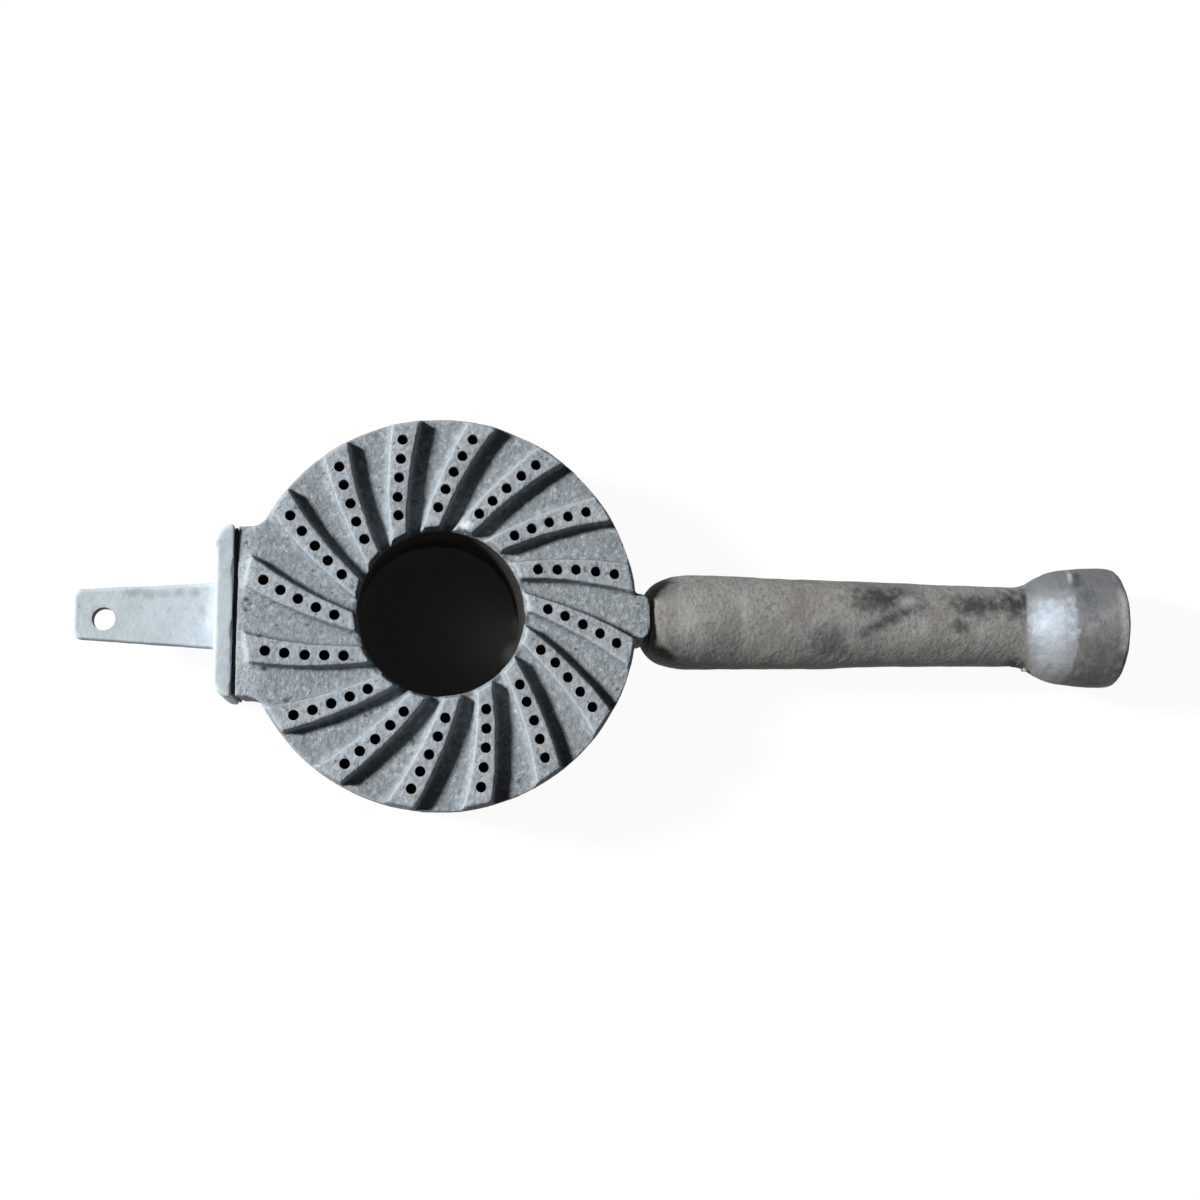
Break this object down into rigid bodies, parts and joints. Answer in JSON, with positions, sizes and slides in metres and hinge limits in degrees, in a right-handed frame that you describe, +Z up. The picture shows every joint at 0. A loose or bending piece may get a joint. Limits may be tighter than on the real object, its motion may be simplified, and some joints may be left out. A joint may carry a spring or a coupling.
{
  "type": "cast iron ring burner",
  "caption": "Cast iron gas ring burner with a ribbed, ported crown on an annular pan, a tapered mixing tube with bell mouth, and a flanged fixing lug.",
  "frame": {"origin": "centre of the bounding box in X and Y, on the plane that the pan stands on; the ring's vertical axis is at x = -0.0664 m", "axes": "+X along the mixing tube towards the bell mouth, +Z up, out of the ribbed crown"},
  "size_m": [0.4102, 0.15, 0.05],
  "materials": {
    "crown_iron": "as cast, grey, lightly brushed tops",
    "pan_iron": "as cast, brown-grey sand texture",
    "bell_iron": "as cast, rubbed bright on the flare",
    "flange_iron": "as cast, pale grey, smooth",
    "steel": "plain steel",
    "graphite_seal": "matt dark seal"
  },
  "bodies": {
    "root": {"crown": "crown_iron", "pan": "pan_iron", "mixing_tube": "pan_iron", "bell_mouth": "bell_iron", "tail_flange": "flange_iron", "crown_gasket_outer": "graphite_seal", "crown_gasket_inner": "graphite_seal", "tube_gasket": "graphite_seal", "tail_gasket": "graphite_seal", "crown_screw_1": "steel", "crown_screw_2": "steel", "crown_screw_3": "steel", "crown_screw_4": "steel", "crown_washer_1": "steel", "crown_washer_2": "steel", "crown_washer_3": "steel", "crown_washer_4": "steel", "tail_screw_1": "steel", "tail_screw_2": "steel", "tail_screw_3": "steel", "tail_screw_4": "steel", "tube_set_screw": "steel", "bell_set_screw": "steel"}
  },
  "joints": []
}
